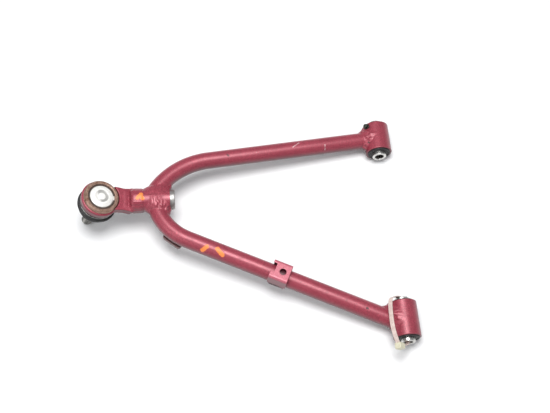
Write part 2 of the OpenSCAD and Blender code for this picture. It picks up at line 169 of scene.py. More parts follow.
def soften(points, loop=True, steps=4):
    """A profile of (r, z) or (r, z, radius) with each corner rounded to its radius."""
    out, n = [], len(points)
    for i, p in enumerate(points):
        radius = p[2] if len(p) > 2 else 0
        here = np.array(p[:2], float)
        if radius <= 0 or (not loop and i in (0, n - 1)):
            out.append(tuple(here))
            continue
        back = np.array(points[i - 1][:2], float) - here
        on = np.array(points[(i + 1) % n][:2], float) - here
        a, b = np.linalg.norm(back), np.linalg.norm(on)
        back, on = back / a, on / b
        half = math.acos(np.clip(back @ on, -0.9999, 0.9999)) / 2
        cut = min(radius / math.tan(half), 0.49 * a, 0.49 * b)
        for k in range(steps + 1):
            t = k / steps
            out.append(tuple(here + back * cut * (1 - t) ** 2 + on * cut * t ** 2))
    return out


def turned(profile, columns=96, loop=True, shape=None):
    """Vertices and faces of a profile turned about Z.

    A profile that isn't a loop starts and ends on the axis.
    """
    angles = np.linspace(0, 2 * math.pi, columns, endpoint=False)
    verts, rows = [], []
    for r, z in profile:
        if r < TINY:
            rows.append([len(verts)])
            verts.append((0, 0, z))
            continue
        radii = shape(angles, r, z) if shape else np.full(columns, r)
        rows.append(list(range(len(verts), len(verts) + columns)))
        verts += list(zip(radii * np.cos(angles), radii * np.sin(angles), np.full(columns, z)))
    faces = []
    for a, b in zip(rows, rows[1:] + rows[:1] if loop else rows[1:]):
        for i in range(columns):
            j = (i + 1) % columns
            if len(a) == 1 and len(b) > 1:
                faces.append((a[0], b[j], b[i]))
            elif len(b) == 1 and len(a) > 1:
                faces.append((a[i], a[j], b[0]))
            elif len(a) > 1:
                faces.append((a[i], a[j], b[j], b[i]))
    return verts, faces


def face_outward(piece):
    """Turns the faces so that they face out, which a signed volume tells."""
    mesh = piece.data
    mesh.calc_loop_triangles()
    co = np.array([v.co for v in mesh.vertices])
    tris = np.array([t.vertices for t in mesh.loop_triangles])
    a, b, c = co[tris[:, 0]], co[tris[:, 1]], co[tris[:, 2]]
    if np.einsum("ij,ij->i", a, np.cross(b, c)).sum() < 0:
        mesh.flip_normals()
    return piece


def lathe(name, profile, matrix, body, material, stands_for=(), columns=96, loop=True, shape=None):
    """A turned piece. Weighted normals keep its flat faces flat beside their rounded edges."""
    verts, faces = turned(profile, columns, loop, shape)
    piece = face_outward(make(name, verts, faces, matrix, body, material, stands_for))
    weighted = piece.modifiers.new("weighted", "WEIGHTED_NORMAL")
    weighted.keep_sharp = True
    return piece


def carved(name, field, low, high, step, matrix, body, material, stands_for=()):
    """A mesh of the surface where field, a signed distance in millimetres, is zero."""
    low = np.array(low, float)
    counts = np.ceil((np.array(high, float) - low) / step).astype(int) + 1
    axes = [low[i] + step * np.arange(counts[i]) for i in range(3)]
    grid = np.stack(np.meshgrid(*axes, indexing="ij"), -1).reshape(-1, 3)
    values = field(grid).reshape(counts)
    inside = values < 0
    corners = [(i, j, k) for i in (0, 1) for j in (0, 1) for k in (0, 1)]

    def corner(array, c):
        return array[tuple(slice(c[i], counts[i] - 1 + c[i]) for i in range(3))]

    total = sum(corner(inside, c).astype(int) for c in corners)
    mixed = (total > 0) & (total < 8)
    sums, hits = np.zeros(mixed.shape + (3,)), np.zeros(mixed.shape)
    for a in corners:
        for axis in range(3):
            if a[axis]:
                continue
            b = tuple(1 if i == axis else a[i] for i in range(3))
            va, vb = corner(values, a), corner(values, b)
            crossed = (va < 0) != (vb < 0)
            share = np.where(crossed, va / np.where(crossed, va - vb, 1), 0)
            point = np.array(a, float) + np.eye(3)[axis] * share[..., None]
            sums += np.where(crossed[..., None], point, 0)
            hits += crossed
    ids = np.full(mixed.shape, -1)
    ids[mixed] = np.arange(mixed.sum())
    cells = np.argwhere(mixed)
    verts = low + (cells + sums[mixed] / hits[mixed][:, None]) * step
    faces = []
    for axis in range(3):
        u, v = [i for i in range(3) if i != axis]
        one = [slice(None)] * 3
        two = [slice(None)] * 3
        one[axis], two[axis] = slice(0, -1), slice(1, None)
        flips = inside[tuple(one)] != inside[tuple(two)]
        for cell in np.argwhere(flips):
            if cell[u] == 0 or cell[v] == 0 or cell[u] >= mixed.shape[u] or cell[v] >= mixed.shape[v]:
                continue
            quad = []
            for du, dv in ((1, 1), (0, 1), (0, 0), (1, 0)):
                c = cell.copy()
                c[u] -= du
                c[v] -= dv
                quad.append(int(ids[tuple(c)]))
            starts_in = inside[tuple(cell)]
            faces.append(tuple(quad if starts_in == (axis != 1) else quad[::-1]))
    # Two steps along the slope put each vertex on the surface itself
    for _ in range(2):
        here = field(verts)
        slope = np.stack([(field(verts + d) - field(verts - d)) / 0.02 for d in np.eye(3) * 0.01], -1)
        move = slope * (here / np.maximum((slope ** 2).sum(-1), 0.25))[:, None]
        verts = verts - np.clip(move, -step / 2, step / 2)
    return face_outward(make(name, verts, faces, matrix, body, material, stands_for, sharp=50))


def soft_union(a, b, k):
    h = np.clip(0.5 + 0.5 * (b - a) / k, 0, 1)
    return b * (1 - h) + a * h - k * h * (1 - h)


def soft_cut(a, b, k):
    """a without b, with the edge between them rounded."""
    return -soft_union(-a, b, k)


def soft_overlap(a, b, k):
    """What a and b have in common, with the edge between them rounded."""
    return -soft_union(-a, -b, k)


def rounded(q, radius):
    """The distance outside a rounded box or disc. q has the distances past a core that is radius smaller."""
    return np.linalg.norm(np.maximum(q, 0), axis=-1) + np.minimum(q.max(-1), 0) - radius


def box_field(p, centre, half, radius):
    return rounded(np.abs(p - np.array(centre, float)) - np.array(half, float) + radius, radius)


def disc_field(across, along, r, half, radius):
    """A cylinder with rounded rims, from the distances across and along its axis."""
    return rounded(np.stack([across - r + radius, np.abs(along) - half + radius], -1), radius)


# ---------------------------------------------------------------- materials

def colour(r, g, b):
    """A display colour from 0 to 255 as linear light."""
    out = []
    for c in (r, g, b):
        c /= 255
        out.append(c / 12.92 if c <= 0.04045 else ((c + 0.055) / 1.055) ** 2.4)
    return (*out, 1)


def brighter(tint, times, plus=0.0):
    return (*(min(1, c * times + plus) for c in tint[:3]), 1)


class Paint:
    """A principled material whose patterns are placed in millimetres, and whose noise scales are per mm."""

    def __init__(self, name, **fixed):
        self.material = bpy.data.materials.new(name)
        self.material.use_nodes = True
        self.tree = self.material.node_tree
        self.shader = self.tree.nodes["Principled BSDF"]
        for socket, value in fixed.items():
            self.shader.inputs[socket.replace("_", " ")].default_value = value
        place = self.tree.nodes.new("ShaderNodeTexCoord")
        scale = self.tree.nodes.new("ShaderNodeMapping")
        scale.inputs["Scale"].default_value = (1000, 1000, 1000)
        self.tree.links.new(place.outputs["Object"], scale.inputs["Vector"])
        self.at = scale.outputs["Vector"]

    def put(self, socket, value):
        if isinstance(value, bpy.types.NodeSocket):
            self.tree.links.new(value, socket)
        else:
            socket.default_value = value

    def set(self, name, value):
        self.put(self.shader.inputs[name], value)

    def noise(self, scale, detail=3, rough=0.5, distortion=0):
        n = self.tree.nodes.new("ShaderNodeTexNoise")
        self.put(n.inputs["Vector"], self.at)
        n.inputs["Scale"].default_value = scale
        n.inputs["Detail"].default_value = detail
        n.inputs["Roughness"].default_value = rough
        n.inputs["Distortion"].default_value = distortion
        return n.outputs["Fac"]

    def cells(self, scale):
        n = self.tree.nodes.new("ShaderNodeTexVoronoi")
        self.put(n.inputs["Vector"], self.at)
        n.inputs["Scale"].default_value = scale
        return n.outputs["Color"]

    def math(self, what, a, b=0.0):
        n = self.tree.nodes.new("ShaderNodeMath")
        n.operation = what
        self.put(n.inputs[0], a)
        self.put(n.inputs[1], b)
        return n.outputs[0]

    def times(self, a, b):
        return self.math("MULTIPLY", a, b)

    def vector(self, what, a, b=(0, 0, 0), out="Vector"):
        n = self.tree.nodes.new("ShaderNodeVectorMath")
        n.operation = what
        self.put(n.inputs[0], a)
        if what == "SCALE":
            self.put(n.inputs["Scale"], b)
        else:
            self.put(n.inputs[1], b)
        return n.outputs[out]

    def span(self, value, low, high, to_low=0.0, to_high=1.0):
        """value from low to high, eased into to_low to to_high."""
        n = self.tree.nodes.new("ShaderNodeMapRange")
        n.interpolation_type = "SMOOTHSTEP"
        for socket, v in zip(n.inputs[:5], (value, low, high, to_low, to_high)):
            self.put(socket, v)
        return n.outputs["Result"]

    def mix(self, factor, a, b):
        n = self.tree.nodes.new("ShaderNodeMix")
        n.data_type = "RGBA"
        self.put(n.inputs["Factor"], factor)
        self.put(n.inputs[6], a)
        self.put(n.inputs[7], b)
        return n.outputs[2]

    def bump(self, height, depth_mm, strength=1.0, under=None):
        n = self.tree.nodes.new("ShaderNodeBump")
        self.put(n.inputs["Height"], height)
        n.inputs["Distance"].default_value = depth_mm * MM
        n.inputs["Strength"].default_value = strength
        if under:
            self.put(n.inputs["Normal"], under)
        return n.outputs["Normal"]

    def edges(self, low=0.53, high=0.6):
        n = self.tree.nodes.new("ShaderNodeNewGeometry")
        return self.span(n.outputs["Pointiness"], low, high)

    def stroke(self, a_mm, b_mm, half_width, blur):
        """1 within half_width of the line from a to b, and 0 outside. a and b may be one point."""
        along = np.array(b_mm, float) - np.array(a_mm, float) + TINY
        off = self.vector("SUBTRACT", self.at, tuple(a_mm))
        share = self.vector("DOT_PRODUCT", off, tuple(along / (along @ along)), out="Value")
        share = self.math("MAXIMUM", share, 0.0)
        share = self.math("MINIMUM", share, 1.0)
        gap = self.vector("SUBTRACT", off, self.vector("SCALE", tuple(along), share))
        gap = self.vector("LENGTH", gap, out="Value")
        ragged = self.math("ADD", gap, self.span(self.noise(1.3, 2), 0.3, 0.7, -blur, blur))
        return self.span(ragged, half_width - blur, half_width + blur, 1.0, 0.0)

    def strokes(self, lines, half_width, blur):
        masks = [self.stroke(a, b, half_width, blur) for a, b in lines]
        total = masks[0]
        for m in masks[1:]:
            total = self.math("MAXIMUM", total, m)
        return total


# Marker dabs, scratches and chips, in millimetres in the row's frame
DABS = [[(-276.4, -72.0, 38.8), (-272.6, -68.0, 38.6)], [(-273.6, -68.6, 38.6), (-271.2, -72.6, 38.0)],
        [(-209.6, -133.6, 25.8), (-204.4, -131.0, 28.0)], [(-193.4, -134.6, 28.0), (-188.6, -141.4, 26.2)]]
SCRATCHES = [[(-63.2, -9.7, 14.9), (-63.5, -14.1, 11)],
             [(-100.5, -11.6, 19.1), (-93.1, -6.3, 18.1)],
             [(-150, -14.5, 22.4), (-143, -17.2, 22.6)],
             [(-120, -160, 19.5), (-112, -163.4, 19)]]
CHIPS = [[(-40.6, -209.1, 13.3), (-39.2, -209.8, 13)], [(-176, -19.5, 26), (-175, -20.5, 26)],
         [(-230, -113, 29), (-229, -114.2, 28.6)], [(-12, -8, 10.5), (-11, -8.8, 11)]]
DAB_HALF, SCRATCH_HALF, CHIP_HALF = 2.3, 0.45, 0.9

# Painted shade lies on the leg under the bracket's hole and along the bracket's near foot
BRACKET = leg_frame(REAR_LEG, BRACKET_AT)
HOLE = tuple(BRACKET @ Vector((HOLE_X, 0, LEG_R)) / MM)
FOOT = [tuple(BRACKET @ Vector((x, LEG_R + 1.65, -3.6)) / MM) for x in (8.5, -1.5)]


def frame_paint(name, rubbed=True, light=colour(184, 72, 90), dark=colour(130, 41, 57)):
    """Metallic paint under lacquer, with painted shade on the underside. Tubes have no edges to rub bright."""
    p = Paint(name, Metallic=0.22, Coat_Roughness=0.34, Coat_IOR=1.5)
    flakes = p.cells(2.6)
    sparkle = p.tree.nodes.new("ShaderNodeSeparateColor")
    p.put(sparkle.inputs["Color"], flakes)
    grain = p.mix(p.span(sparkle.outputs[0], 0.25, 0.95), dark, light)
    cloud = p.span(p.noise(0.045, 4), 0.35, 0.7)
    base = p.mix(p.times(cloud, 0.3), grain, dark)
    if rubbed:
        rub = p.times(p.edges(0.515, 0.58), p.span(p.noise(0.5, 4), 0.42, 0.62))
        base = p.mix(p.times(rub, 0.4), base, colour(214, 150, 150))
    dust = p.span(p.noise(0.35, 5, 0.6), 0.58, 0.8)
    base = p.mix(p.times(dust, 0.12), base, colour(214, 176, 176))
    scratch = p.strokes(SCRATCHES, SCRATCH_HALF, 0.25)
    base = p.mix(p.times(scratch, 0.75), base, colour(236, 214, 214))
    pits = p.span(p.noise(0.55, 2, 0.4), 0.74, 0.77)
    chip = p.math("MAXIMUM", p.strokes(CHIPS, CHIP_HALF, 0.4), p.times(pits, 0.8))
    base = p.mix(chip, base, colour(74, 40, 42))
    # Painted shade: surfaces that face down are mixed towards a dark red
    facing = p.tree.nodes.new("ShaderNodeSeparateXYZ")
    p.put(facing.inputs[0], p.tree.nodes.new("ShaderNodeNewGeometry").outputs["Normal"])
    under = p.span(facing.outputs["Z"], -0.2, 0.85, 0.9, 0.0)
    base = p.mix(under, base, colour(70, 14, 28))
    # Painted shade under the bracket's hole and along its near foot, where the lacquer's coat is taken away too
    painted_shade = p.math("MAXIMUM", p.strokes([(HOLE, HOLE)], HOLE_R + 1, 1.0), p.strokes([FOOT], 2.4, 0.7))
    base = p.mix(p.times(painted_shade, 0.85), base, colour(52, 26, 32))
    p.set("Coat Weight", p.span(painted_shade, 0.0, 1.0, 0.4, 0.0))
    dab = p.strokes(DABS, DAB_HALF, 0.5)
    base = p.mix(dab, base, colour(240, 138, 66))
    p.set("Base Color", base)
    rough = p.span(p.noise(0.12, 4), 0.3, 0.75, 0.37, 0.47)
    rough = p.math("ADD", rough, p.times(p.math("MAXIMUM", chip, dab), 0.25))
    p.set("Roughness", rough)
    orange_peel = p.bump(p.noise(0.7, 2), 0.03, 0.6)
    grit = p.bump(sparkle.outputs[1], 0.012, 0.5, under=orange_peel)
    p.set("Normal", p.bump(chip, -0.06, 0.8, under=grit))
    return p.material


def metal(name, light, dark, rough=(0.25, 0.45), metallic=1.0, rust=None, rust_at=0.6, ring=None,
          dimple=0.02):
    """Bare or plated metal: cloudy tarnish, a grain, edges rubbed bright, optional rust and tool marks."""
    p = Paint(name, Metallic=metallic)
    cloud = p.span(p.noise(0.35, 5, 0.6), 0.3, 0.7)
    base = p.mix(cloud, light, dark)
    base = p.mix(p.times(p.edges(), 0.5), base, brighter(light, 1.25))
    rough_map = p.span(p.noise(0.8, 4), 0.3, 0.7, *rough)
    if rust:
        spots = p.span(p.noise(0.22, 6, 0.65, distortion=0.4), rust_at, rust_at + 0.1)
        base = p.mix(p.times(spots, 0.85), base, rust)
        rough_map = p.math("ADD", rough_map, p.times(spots, 0.3))
    p.set("Base Color", base)
    p.set("Roughness", rough_map)
    height = p.bump(p.noise(1.6, 4, 0.6), dimple, 0.6)
    if ring:
        origin, axis, pitch = ring
        off = p.vector("SUBTRACT", p.at, tuple(Vector(origin) / MM))
        out = p.vector("LENGTH", p.vector("CROSS_PRODUCT", off, tuple(axis)), out="Value")
        along = p.vector("DOT_PRODUCT", off, tuple(axis), out="Value")
        wave = p.math("SINE", p.times(p.math("ADD", out, along), 2 * math.pi / pitch))
        height = p.bump(wave, 0.012, 0.5, under=height)
    p.set("Normal", height)
    return p.material


# The radius of the dish wall that the painted shade follows
DISH_SHADE_R = 5.6


def cap_paint():
    """Bright drawn steel with painted shade along one side of its dish."""
    p = Paint("cap_steel", Metallic=0.35)
    off = p.vector("SUBTRACT", p.at, tuple(ball_m / MM))
    out = p.vector("LENGTH", p.vector("CROSS_PRODUCT", off, tuple(head_up)), out="Value")
    inboard = p.vector("DOT_PRODUCT", off, tuple(head_in + 0.35 * head_up.cross(head_in)), out="Value")
    wall = p.math("ABSOLUTE", p.math("SUBTRACT", out, DISH_SHADE_R))
    # Painted shade: the inboard side of the dish wall is mixed towards grey
    painted_dish_shade = p.times(p.span(wall, 0.9, 2.3, 1.0, 0.0), p.span(inboard, -5.0, -1.4))
    base = p.mix(p.span(p.noise(0.3, 4), 0.35, 0.7), colour(252, 251, 247), colour(240, 239, 234))
    specks = p.span(p.noise(1.3, 3, 0.6), 0.62, 0.72)
    specks = p.times(specks, p.span(out, 8.5, 11.5, 0.05, 0.4))
    base = p.mix(specks, base, colour(150, 140, 128))
    p.set("Base Color", p.mix(p.times(painted_dish_shade, 0.8), base, colour(140, 139, 136)))
    p.set("Roughness", p.span(p.noise(0.8, 4), 0.3, 0.7, 0.34, 0.46))
    p.set("Normal", p.bump(p.noise(1.6, 4, 0.6), 0.015, 0.5))
    return p.material


def plastic(name, light, dark, rough=(0.45, 0.65), grain=2.2, depth=0.02, dust=None, **fixed):
    """Moulded plastic or rubber with scuffed edges and optional dust."""
    p = Paint(name, **fixed)
    base = p.mix(p.span(p.noise(0.3, 4), 0.3, 0.7), light, dark)
    scuff = p.times(p.edges(0.52, 0.6), p.span(p.noise(0.7, 3), 0.4, 0.6))
    base = p.mix(p.times(scuff, 0.35), base, brighter(light, 1.6, 0.02))
    if dust:
        veil = p.span(p.noise(0.5, 5, 0.65), 0.45, 0.75)
        base = p.mix(p.times(veil, 0.5), base, dust)
    p.set("Base Color", base)
    p.set("Roughness", p.span(p.noise(0.9, 3), 0.3, 0.7, *rough))
    p.set("Normal", p.bump(p.noise(grain, 4, 0.6), depth, 0.7))
    return p.material


RED = frame_paint("frame_paint")
# A lighter copy of the frame paint for the bracket: painted light on its flat top
BRACKET_LIT_RED = frame_paint("bracket_lit_paint", light=colour(212, 116, 130), dark=colour(172, 84, 100))
TUBE_RED = frame_paint("tube_paint", rubbed=False)
# A darker brown-grey paint for the tab and the bracket's beads: partly their own bare, oversprayed colour, partly
# painted shade for sitting under the leg and bracket
TAB_BROWN_SHADED = frame_paint("tab_shaded_paint", light=colour(128, 92, 90), dark=colour(84, 58, 58))
BUSH = plastic("bush_polymer", colour(34, 33, 34), colour(22, 21, 22), dust=colour(60, 56, 54))
FRONT_SLEEVE_STEEL, REAR_SLEEVE_STEEL = [
    metal(name, colour(222, 222, 218), colour(180, 178, 174), (0.2, 0.36), ring=(axis_at, FORWARD, 0.35))
    for name, axis_at in (("front_sleeve_steel", front_m), ("rear_sleeve_steel", rear_m))]
NIPPLE_STEEL = metal("nipple_steel", colour(92, 94, 88), colour(58, 62, 58), (0.35, 0.55),
                     rust=colour(84, 58, 44), rust_at=0.58)
BODY_STEEL = metal("joint_body_steel", colour(176, 144, 128), colour(132, 104, 90), (0.36, 0.55),
                   metallic=0.7, rust=colour(118, 78, 54), rust_at=0.56, ring=(ball_m, head_up, 0.5),
                   dimple=0.03)
CAP_STEEL = cap_paint()
SNAP_STEEL = metal("snap_ring_steel", colour(92, 72, 62), colour(60, 48, 42), (0.45, 0.6), metallic=0.4)
SPRING_STEEL = metal("spring_steel", colour(150, 148, 146), colour(110, 108, 106))
STUD_STEEL = metal("stud_steel", colour(160, 159, 155), colour(112, 110, 106), (0.24, 0.42),
                   ring=(ball_m, head_up, 0.5))
WIRE_STEEL = metal("wire_steel", colour(176, 174, 170), colour(110, 106, 102), rust=colour(120, 84, 58),
                   rust_at=0.62)
PLUG_ZINC = metal("plug_zinc", colour(184, 182, 180), colour(148, 146, 144), (0.38, 0.55), metallic=0.8,
                  dimple=0.05)
SEAT = plastic("seat_polymer", colour(232, 228, 214), colour(214, 208, 192))
RUBBER = plastic("boot_rubber", colour(36, 35, 36), colour(22, 22, 23), (0.5, 0.72), grain=1.4, depth=0.05,
                 dust=colour(74, 69, 66))
NYLON = plastic("nylon", colour(214, 194, 186), colour(196, 174, 166), (0.3, 0.45), IOR=1.53)
LOCK_NYLON = plastic("lock_nylon", colour(216, 212, 188), colour(196, 190, 162), (0.3, 0.45), IOR=1.53)

carried = {"frame_paint": TUBE_RED, "seat_polymer": SEAT, "spring_steel": SPRING_STEEL}
for part in frame["record"]["subparts"]:
    if part["material_slot"] in carried:
        kept = nodes[part["node"]]
        kept.data.materials.clear()
        kept.data.materials.append(carried[part["material_slot"]])


# ---------------------------------------------------------------- welds

def leg_distance(leg, p):
    """For points in the arm's frame, the distance outside a leg's skin, the angle round it and the length."""
    start = math.radians(180 + leg.side * leg.angle)
    x, y = p[:, 0], p[:, 1] - leg.y
    along = x * math.cos(start) + y * math.sin(start)
    aside = leg.side * (y * math.cos(start) - x * math.sin(start))
    bent = leg.bend_r - np.hypot(along - leg.straight, aside - leg.bend_r)
    off = np.where(along > leg.straight, bent, aside)
    return np.hypot(off, p[:, 2]) - LEG_R, np.arctan2(p[:, 2], off), along


BEAD_RISE, RIPPLE, TOE_SHARE, TOE_BLUR, SINK = 0.55, 0.14, 0.66, 0.3, 1.3


def weld_field(one, other, round_it, blend, lumps, seed):
    """The fillet between two skins, with the ripples and drops of a hand weld.

    one and other are distances outside the skins. It ends just under both, and isn't solid inside them.
    """
    corner = np.hypot(one, other)
    rng = np.random.default_rng(seed)
    near = np.broadcast_to(blend, corner.shape)
    rough = sum(rng.uniform(0.05, 0.11) * np.sin(k * round_it + rng.uniform(0, 6.28))
                for k in range(5, 17, 2))
    bead = BEAD_RISE + rough + RIPPLE * np.sin(30 * round_it + 0.6 * (one - other))
    toe = TOE_SHARE * near + 0.4 * np.sin(5 * round_it + seed) + 0.25 * np.sin(13 * round_it)
    rise = bead / (1 + np.exp((corner - toe) / TOE_BLUR))
    for angle, shift, high, wide in lumps:
        turn = (round_it - math.radians(angle) + math.pi) % (2 * math.pi) - math.pi
        spot = (turn * LEG_R / wide) ** 2 + ((one - other - shift) / (1.2 * wide)) ** 2
        rise = rise + high * np.exp(-spot) * np.exp(-(np.minimum(one, other) / 3.5) ** 2)
    skin = soft_union(one, other, near) + 0.12 - rise
    skin = np.maximum(skin, corner - near - 0.6)
    return np.maximum(skin, -SINK - np.minimum(one, other))


def leg_weld(name, leg, housing, low, high, blends, far, seed, lumps):
    """The weld round a leg, between these two corners of the arm's plane.

    housing is the place and half length of the pivot housing that the leg starts in, or None at the stem.
    blends are the fillet's size on its small side and on its large side, at angle far.
    """
    def field(p):
        skin, round_it, along = leg_distance(leg, p)
        x, y, z = p.T
        if housing:
            other, past = disc_field(np.hypot(x, z), y - housing[0], HOUSING_R, housing[1], 0.9), along
        else:
            past = leg.side * (y - STEM_Y)
            other = disc_field(np.hypot(y - STEM_Y, z), x + (STEM_IN + STEM_OUT) / 2, STEM_R,
                               (STEM_OUT - STEM_IN) / 2, 0.4)
        share = (0.5 + 0.5 * np.cos(round_it - math.radians(far))) ** 2
        blend = blends[0] + (blends[1] - blends[0]) * share
        return weld_field(np.maximum(skin, -past), other, round_it, blend, lumps, seed)

    carved(f"{name}_bead", field, (*low, -WELD_HALF), (*high, WELD_HALF), WELD_STEP, ARM, "arm",
           TUBE_RED, [f"{name}_weld"])


front_half = mounts["front_pivot_bore"]["dims"]["length_mm"] / 2 - SLEEVE_OUT
rear_half = mounts["rear_pivot_bore"]["dims"]["length_mm"] / 2 - SLEEVE_OUT
rear_y = (rear_m.y - front_m.y) / MM
# The half height of the welds, and the step that they are carved with
WELD_HALF, WELD_STEP = 19, 0.55
# A lump is its angle round the leg, how far it leans onto the leg, its height and its width
WELDS = [
    ("front_pivot", FRONT_LEG, (0, front_half), (-27, -20), (-1, 20), (5, 10), 180, 13,
     [(84, -1.5, 1.5, 1.3), (96, 2.2, 1.4, 1.2), (112, 0.5, 1.5, 1.3), (70, 1.8, 1.3, 1.2),
      (126, -2.0, 1.0, 1.2)]),
    ("rear_pivot", REAR_LEG, (rear_y, rear_half), (-27, rear_y - 22), (-1, rear_y + 22), (4.5, 11), 0, 14,
     [(92, 1.5, 1.2, 1.6), (74, -1.5, 0.8, 1.4)]),
    ("front_leg_stem", FRONT_LEG, None, (-291, STEM_Y + 1), (-236, STEM_Y + 27), (5, 9), 0, 11,
     [(112, -1.0, 1.1, 1.5), (92, 0.8, 0.9, 1.3), (62, 0.5, 0.8, 1.3), (136, 1.0, 0.8, 1.5)]),
    ("rear_leg_stem", REAR_LEG, None, (-291, STEM_Y - 27), (-236, STEM_Y - 1), (5, 9), 0, 12,
     [(96, -1.2, 1.5, 1.3), (80, 1.2, 1.4, 1.2), (112, 0.8, 1.4, 1.3), (66, -0.8, 1.2, 1.2),
      (126, -1.0, 1.1, 1.3), (52, 1.0, 0.9, 1.2)])]
for weld in WELDS:
    leg_weld(*weld)


# ---------------------------------------------------------------- forged head

ARM_IN_HEAD = np.array(ARM.inverted() @ HEAD)
# The draft of the ring's sides, the waist beside the ring, the spigot's reach past the stem's end and inside
# it, the slope of the paddle's underside, and the line where the forging's two dies met
DRAFT, WAIST, SPIGOT_OUT, SPIGOT_IN, UNDER_SLOPE, DIE_LINE, DIE_Z = 0.055, 0.8, 10, 20, 0.22, 0.22, 1.5


def in_arm(p):
    """Points of the head's frame in the arm's frame."""
    return p @ ARM_IN_HEAD[:3, :3].T + ARM_IN_HEAD[:3, 3]


def head_field(p):
    x, y, z = p.T
    across = np.hypot(x, y)
    side = RING_R - DRAFT * np.abs(z - 1) ** 1.4
    ring = disc_field(across - side + RING_R, z - (RING_TOP + RING_BOTTOM) / 2, RING_R,
                      (RING_TOP - RING_BOTTOM) / 2, 1.3)
    half = PADDLE_W / 2
    waist = half - WAIST * np.exp(-((x - 25) / 5.5) ** 2)
    paddle = box_field(np.stack([x, y * half / waist, z], -1), (PADDLE_L / 2, 0, PADDLE_TOP - PADDLE_T / 2),
                       (PADDLE_L / 2, half, PADDLE_T / 2), 1.0)
    paddle = soft_cut(paddle, np.maximum(across - SPOT_FACE_R, RING_TOP - z), 0.5)
    q = in_arm(p)
    along = q[:, 0] + (STEM_OUT + SPIGOT_OUT + STEM_OUT - SPIGOT_IN) / 2
    shank = disc_field(np.hypot(q[:, 1] - STEM_Y, q[:, 2]), along, STEM_BORE_R, (SPIGOT_OUT + SPIGOT_IN) / 2,
                       0.6)
    step_round = np.hypot(x - STEP_X, z - PADDLE_TOP - STEP_R) - STEP_R
    hollow = np.minimum(step_round, np.maximum(x - STEP_X, PADDLE_TOP - z))
    hollow = np.minimum(hollow, np.maximum(x - STEP_X - STEP_R, PADDLE_TOP + STEP_R - z))
    shank = soft_cut(shank, hollow, 2.5)
    under = z - PADDLE_TOP + PADDLE_T + UNDER_SLOPE * (x - 12)
    shank = soft_cut(shank, np.maximum(x - 28, under), 3)
    whole = soft_union(soft_union(ring, paddle, 1.5), shank, 2.0)
    whole = whole - DIE_LINE * np.exp(-((z - DIE_Z) / 0.55) ** 2) * (x < 31)
    return np.maximum(whole, BODY_R + 0.02 - across)


carved("forged_head", head_field, (-22.5, -22.5, -16), (60, 22.5, 24), 0.62, HEAD, "arm",
       TUBE_RED, ["ball_joint_head"])


def neck_field(p):
    """The weld that fills the corner between the forging and the end of the stem tube."""
    q = in_arm(p)
    round_it, along = np.arctan2(q[:, 2], q[:, 1] - STEM_Y), q[:, 0] + STEM_OUT
    swell = STEM_R - 0.15 + 0.5 * np.exp(-(along / 5) ** 2)
    collar = disc_field(np.hypot(q[:, 1] - STEM_Y, q[:, 2]) - swell + STEM_R, along - 4, STEM_R, 6.5, 3.2)
    return weld_field(head_field(p), collar, round_it, 4.5, [], 15)


carved("stem_head_bead", neck_field, (22, -16, -14), (50, 16, 24), WELD_STEP, HEAD, "arm",
       TUBE_RED, ["stem_head_weld"])


# ---------------------------------------------------------------- pivots

def housing_profile(half):
    r, bore = HOUSING_R, HOUSING_BORE_R
    return soften([(bore, -half, 0.5), (r, -half, 0.9), (r, half, 0.9), (bore, half, 0.5)])


def bush_profile(end, half):
    """A flanged bush with a seal groove in its flange. end is 1 at the forward face."""
    bore, wall, face = SLEEVE_R + 0.05, HOUSING_BORE_R - 0.02, half + BUSH_FLANGE_T
    groove = face - 0.5
    shape = [(bore, half - BUSH_L, 0.3), (wall, half - BUSH_L, 0.3), (wall, half, 0),
             (BUSH_FLANGE_R, half, 0.2), (BUSH_FLANGE_R, face, 0.6), (11.2, face, 0.2), (10.9, groove, 0.2),
             (10.2, groove, 0.2), (9.9, face, 0.2), (bore, face, 0.4)]
    return [(r, end * z) for r, z in soften(shape)]


def sleeve_profile(half):
    return soften([(SLEEVE_BORE_R, -half, 0.5), (SLEEVE_R, -half, 0.8), (SLEEVE_R, half, 0.8),
                   (SLEEVE_BORE_R, half, 0.5)])


NIPPLE_BASE, HEX_R = HOUSING_BORE_R + 0.4, 3.12


def nipple(name, along, degrees, origin_m, node):
    """A hexagon, a waist, a ball-shaped tip and a blind feed hole with its check ball."""
    matrix = pivot_frame(origin_m) @ Matrix.Translation((0, 0, along))
    matrix = matrix @ Matrix.Rotation(math.radians(degrees), 4, "Z")
    profile = [(0, 0), (2.5, 0), (2.5, 2.8), (3.25, 2.8), (3.6, 3.1), (3.6, 4.5), (3.2, 4.8), (1.75, 4.85),
               (1.6, 5.2), (1.6, 5.7), (1.85, 6.0), (2.45, 6.2), (2.62, 6.55), (2.5, 6.95), (2.05, 7.35),
               (1.45, 7.57), (0.95, 7.6), (0.75, 7.35), (0.45, 7.42), (0, 7.5)]

    def hexagon(angles, r, z):
        if not 2.79 < z < 4.81 or r < 2:
            return np.full(len(angles), r)
        flat = HEX_R / np.cos((angles % (math.pi / 3)) - math.pi / 6)
        return np.minimum(r, flat)

    upright = Matrix.Rotation(math.pi / 2, 4, "Y")
    lathe(name, profile, matrix @ upright @ Matrix.Translation((0, 0, NIPPLE_BASE)), "arm",
          NIPPLE_STEEL, [node], columns=72, loop=False, shape=hexagon)


